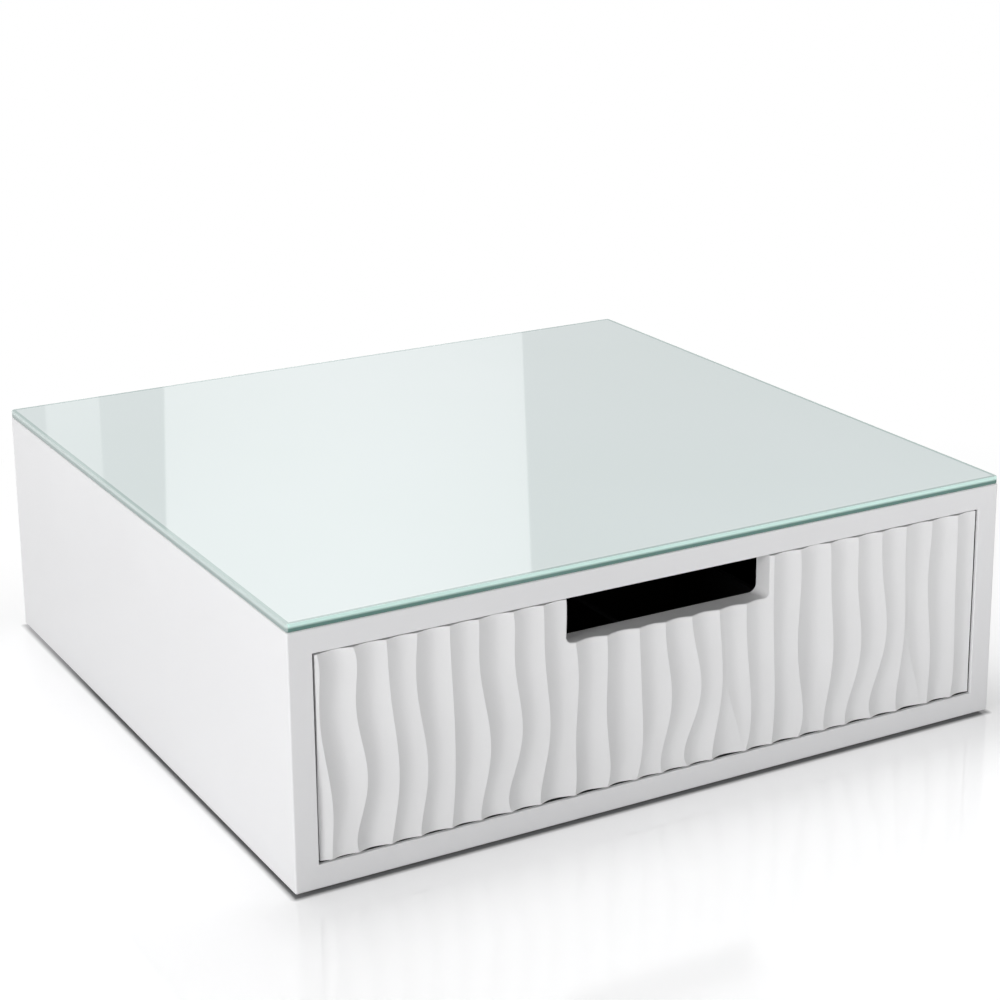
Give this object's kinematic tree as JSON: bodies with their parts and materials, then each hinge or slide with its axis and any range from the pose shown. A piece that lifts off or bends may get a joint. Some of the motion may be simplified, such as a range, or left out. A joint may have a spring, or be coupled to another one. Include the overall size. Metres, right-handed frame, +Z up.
{
  "type": "coffee pod drawer",
  "caption": "White lacquered box with a glass top and a full-width pod drawer, its front carved in wavy upright flutes with a finger notch at the top edge.",
  "frame": {"origin": "on the table, under the middle of the box", "axes": "+X to the right seen from the front, +Y to the back, +Z up; the drawer opens along -Y"},
  "size_m": [0.4, 0.38, 0.1315],
  "materials": {
    "white_lacquer": "fibreboard under smooth white satin lacquer",
    "glass": "clear float glass, polished edges that look green",
    "clear_adhesive": "clear soft plastic",
    "plywood": "bare birch plywood",
    "beech": "bare beech",
    "black_board": "black-faced fibreboard, matt",
    "liner_felt": "black felt",
    "rail_steel": "zinc-plated rolled steel",
    "cage_steel": "thin plain steel",
    "ball_steel": "polished",
    "screw_steel": "zinc plated",
    "nylon": "natural nylon",
    "foot_rubber": "matt black",
    "bumper_rubber": "translucent grey"
  },
  "bodies": {
    "carcass": {"left_side_panel": "white_lacquer", "right_side_panel": "white_lacquer", "top_panel": "white_lacquer", "base_panel": "white_lacquer", "back_panel": "white_lacquer", "mitre_splines": "plywood", "glass_bonding_discs": "clear_adhesive", "glass_top": "glass", "foot_front_left": "foot_rubber", "foot_front_right": "foot_rubber", "foot_rear_left": "foot_rubber", "foot_rear_right": "foot_rubber", "left_rear_bumper": "bumper_rubber", "right_rear_bumper": "bumper_rubber", "cabinet_rail_screws": "screw_steel", "left_cabinet_rail": "rail_steel", "right_cabinet_rail": "rail_steel", "left_rail_stop": "nylon", "right_rail_stop": "nylon"},
    "drawer": {"drawer_front": "white_lacquer", "drawer_rail_screws": "screw_steel", "back_screws": "screw_steel", "left_drawer_rail": "rail_steel", "right_drawer_rail": "rail_steel", "drawer_left_side": "black_board", "drawer_right_side": "black_board", "drawer_back": "black_board", "drawer_bottom": "black_board", "front_dowels": "beech", "drawer_liner": "liner_felt", "left_long_divider": "black_board", "middle_long_divider": "black_board", "right_long_divider": "black_board", "front_cross_divider": "black_board", "rear_cross_divider": "black_board"},
    "left_cage": {"left_ball_cage": "cage_steel", "left_balls": "ball_steel"},
    "right_cage": {"right_ball_cage": "cage_steel", "right_balls": "ball_steel"}
  },
  "joints": [
    {"name": "drawer_slide", "type": "slide", "parent": "carcass", "child": "drawer", "axis": [0, -1, 0], "range_m": [0, 0.25]},
    {"name": "left_cage_slide", "type": "slide", "parent": "carcass", "child": "left_cage", "axis": [0, -1, 0], "range_m": [0, 0.125]},
    {"name": "right_cage_slide", "type": "slide", "parent": "carcass", "child": "right_cage", "axis": [0, -1, 0], "range_m": [0, 0.125]}
  ],
  "couplings": [
    {"joint": "left_cage_slide", "follows": "drawer_slide", "ratio": 0.5},
    {"joint": "right_cage_slide", "follows": "drawer_slide", "ratio": 0.5}
  ]
}
